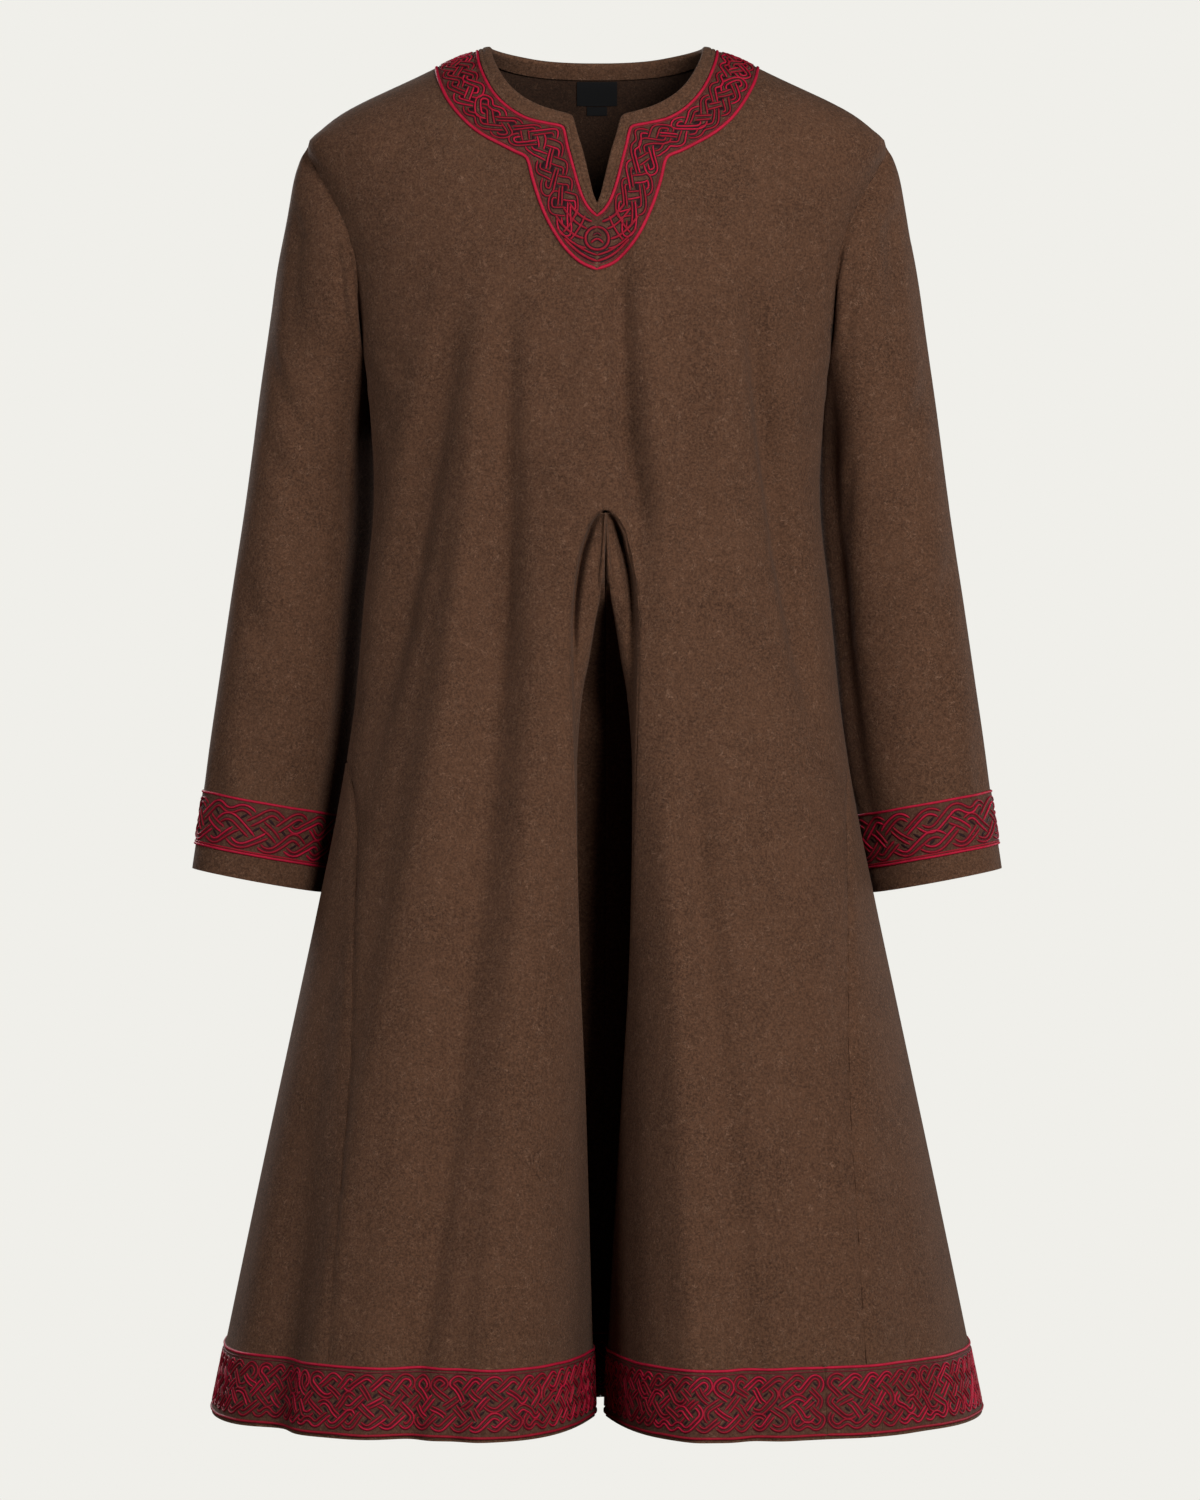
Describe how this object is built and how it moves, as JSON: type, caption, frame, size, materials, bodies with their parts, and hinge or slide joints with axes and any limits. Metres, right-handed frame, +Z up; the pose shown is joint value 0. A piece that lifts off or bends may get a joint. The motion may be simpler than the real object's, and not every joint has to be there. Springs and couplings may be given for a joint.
{
  "type": "medieval tunic",
  "caption": "Knee-length wool tunic, filled out with no wearer: slit neck, set-in sleeves, side gores, a folded centre-front gore and interlace bands.",
  "frame": {"origin": "midway between the shoulder seams, at their middle height, where the wearer's shoulders carry the garment", "axes": "+Z up, the front faces -Y, the wearer's left side at +X"},
  "size_m": [0.693, 0.436, 1.1551],
  "materials": {
    "wool": "dark brown heathered fulled wool, matt, with a short nap",
    "embroidered_band": "crimson satin-stitch interlace on the same wool",
    "label": "black woven label, bare"
  },
  "bodies": {
    "root": {"front": "wool", "back": "wool", "sleeve_left": "wool", "sleeve_right": "wool", "side_gore_left": "wool", "side_gore_right": "wool", "front_gore_left": "wool", "front_gore_right": "wool", "neck_binding": "wool", "neck_band": "embroidered_band", "cuff_band_left": "embroidered_band", "cuff_band_right": "embroidered_band", "hem_band": "embroidered_band", "label": "label", "size_tab": "label"}
  },
  "joints": []
}
